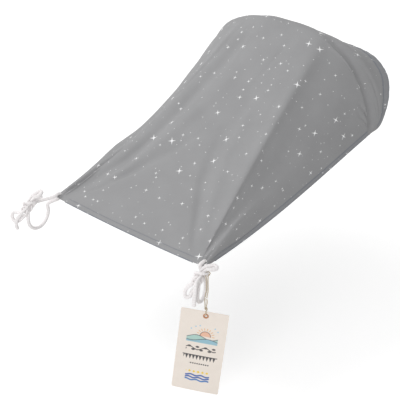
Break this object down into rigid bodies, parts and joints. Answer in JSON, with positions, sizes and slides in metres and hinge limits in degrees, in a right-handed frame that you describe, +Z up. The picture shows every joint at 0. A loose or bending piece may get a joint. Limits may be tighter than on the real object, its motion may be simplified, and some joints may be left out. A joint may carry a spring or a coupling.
{
  "type": "pram sun shade",
  "caption": "Rectangular cotton sun shade stretched from a pram's handlebar to its hood, with tie cords, elasticated rear edge and a swing tag.",
  "frame": {"origin": "on the handlebar's axis, midway between the two ties", "axes": "+X along the handlebar towards the right tie as seen by the one who pushes looking at the hood, +Y from the handlebar to the hood, +Z up"},
  "size_m": [0.5327, 0.7051, 0.5122],
  "materials": {
    "grey_cotton": "matt",
    "hem_cotton": "matt",
    "white_elastic": "matt",
    "white_cord": "matt",
    "cream_twine": "matt",
    "cream_card": "matt paper card",
    "copper": "polished copper colour"
  },
  "bodies": {
    "shade": {"shade_cloth": "grey_cotton", "front_hem": "hem_cotton", "left_hem": "hem_cotton", "right_hem": "hem_cotton", "rear_casing": "hem_cotton", "rear_elastic": "white_elastic", "left_tie_cord": "white_cord", "right_tie_cord": "white_cord", "tag_string": "cream_twine"},
    "string_drop": {"tag_string_drop": "cream_twine"},
    "string_loop": {"tag_string_loop": "cream_twine"},
    "tag": {"tag_card": "cream_card", "tag_eyelet": "copper"}
  },
  "joints": [
    {"name": "tag_swing", "type": "hinge", "parent": "shade", "child": "string_drop", "pos_m": [0.2445, -0.0244, 0], "axis": [1, 0, 0], "range_deg": [-45, 5]},
    {"name": "tag_turn", "type": "hinge", "parent": "string_drop", "child": "string_loop", "pos_m": [0.2445, -0.0244, -0.0232], "axis": [0, 0, 1], "range_deg": [-20, 90]},
    {"name": "tag_tilt", "type": "hinge", "parent": "string_loop", "child": "tag", "pos_m": [0.2445, -0.0244, -0.04], "axis": [0.5, -0.866, 0], "range_deg": [-6, 10]}
  ]
}
